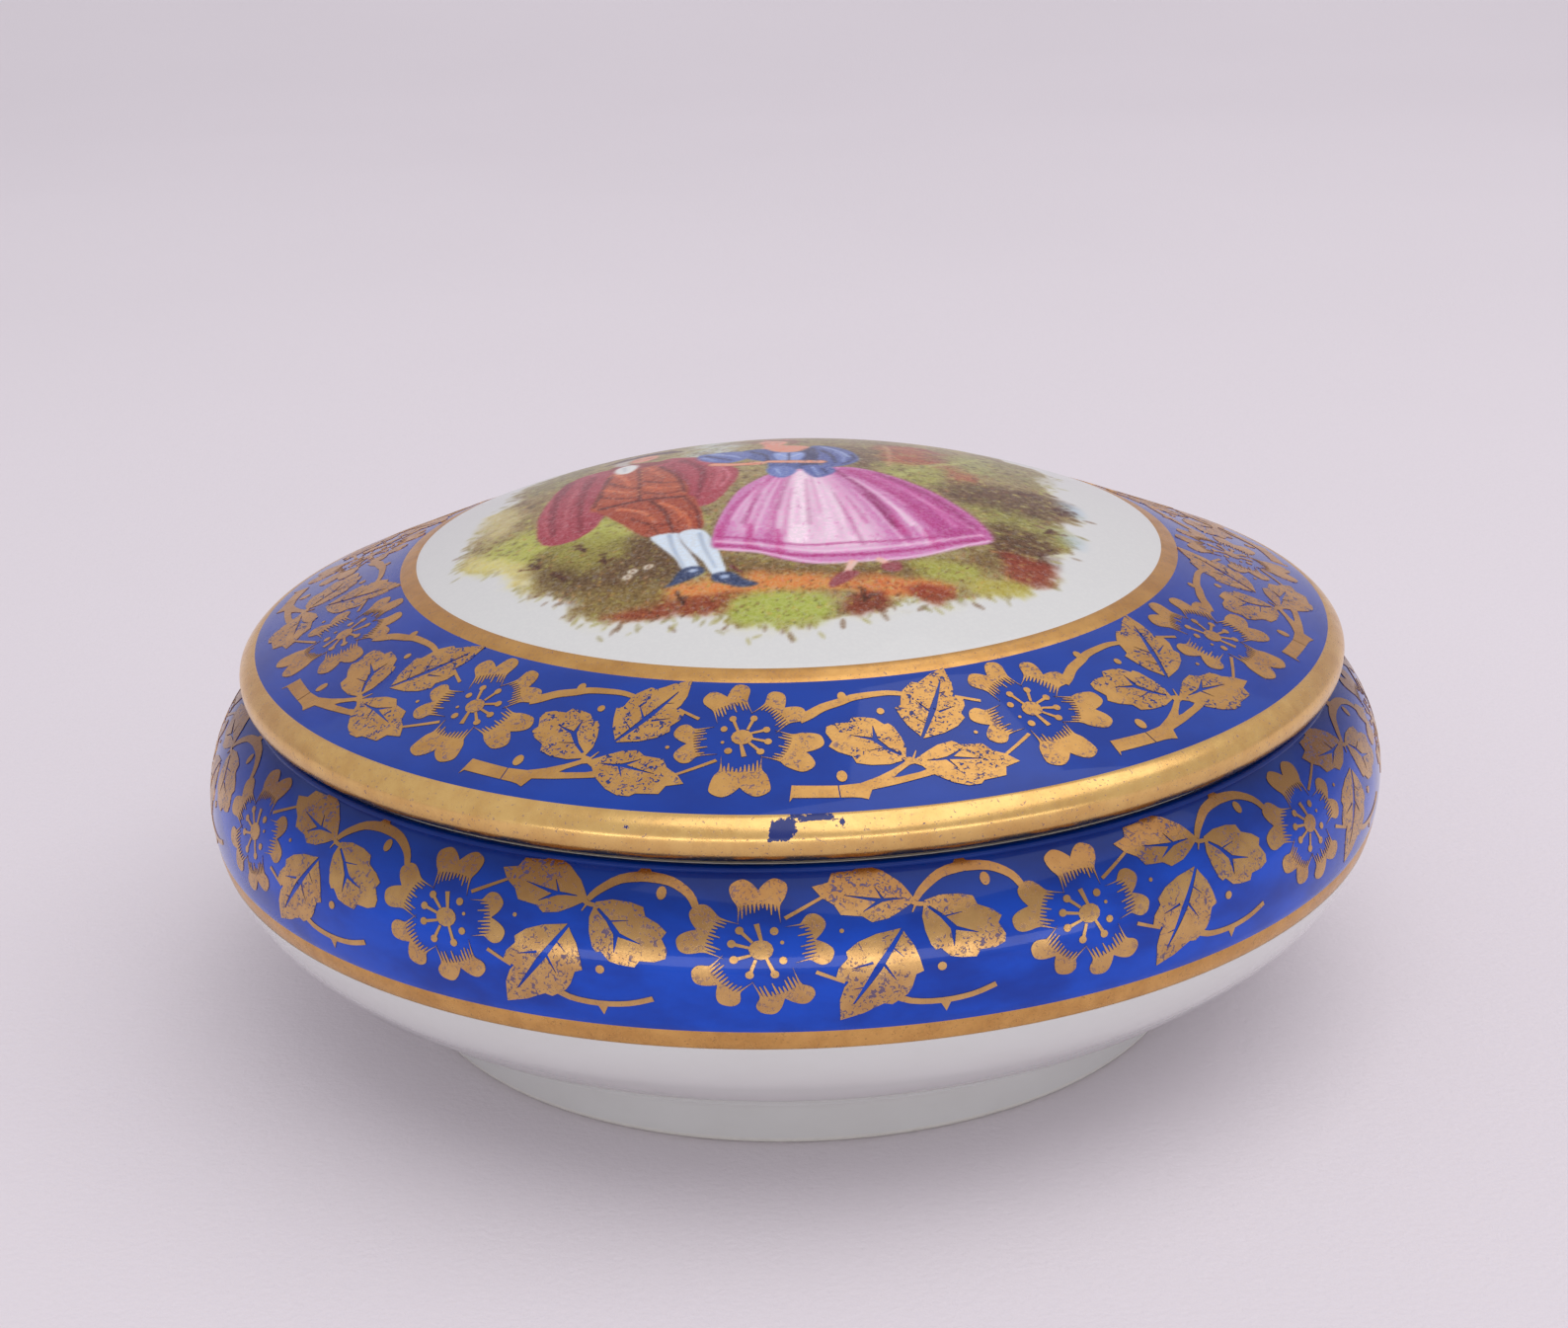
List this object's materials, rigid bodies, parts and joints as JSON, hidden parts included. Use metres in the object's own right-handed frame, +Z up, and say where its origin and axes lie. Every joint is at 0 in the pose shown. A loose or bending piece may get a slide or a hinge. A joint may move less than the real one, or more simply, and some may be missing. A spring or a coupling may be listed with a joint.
{
  "type": "porcelain trinket box",
  "caption": "Squat round porcelain box on a foot ring, with a domed lift-off lid, cobalt bands, gilded lines and a painted round medallion.",
  "frame": {"origin": "centre of the foot ring's rest face, on the table", "axes": "+Z up along the turning axis of bowl and lid; -Y faces the viewer, so the painted scene reads upright from -Y"},
  "size_m": [0.0984, 0.0984, 0.0442],
  "materials": {
    "white_porcelain": "clear gloss glaze over white porcelain",
    "painted_porcelain": "enamel painting under a gloss glaze",
    "cobalt_glaze": "deep cobalt blue gloss glaze",
    "satin_gilding": "thin fired gold, satin and slightly speckled",
    "burnished_gilding": "burnished fired gold, bright with slight wear"
  },
  "bodies": {
    "bowl_body": {"bowl": "white_porcelain", "bowl_cobalt_ground": "cobalt_glaze", "bowl_gilt_line": "satin_gilding"},
    "lid_body": {"lid": "white_porcelain", "lid_cobalt_ground": "cobalt_glaze", "lid_gilt_rim": "burnished_gilding", "lid_gilt_ring": "satin_gilding", "lid_medallion": "painted_porcelain"}
  },
  "joints": [
    {"name": "lid_lift", "type": "slide", "parent": "bowl_body", "child": "lid_body", "axis": [0, 0, 1], "range_m": [0, 0.04]}
  ]
}
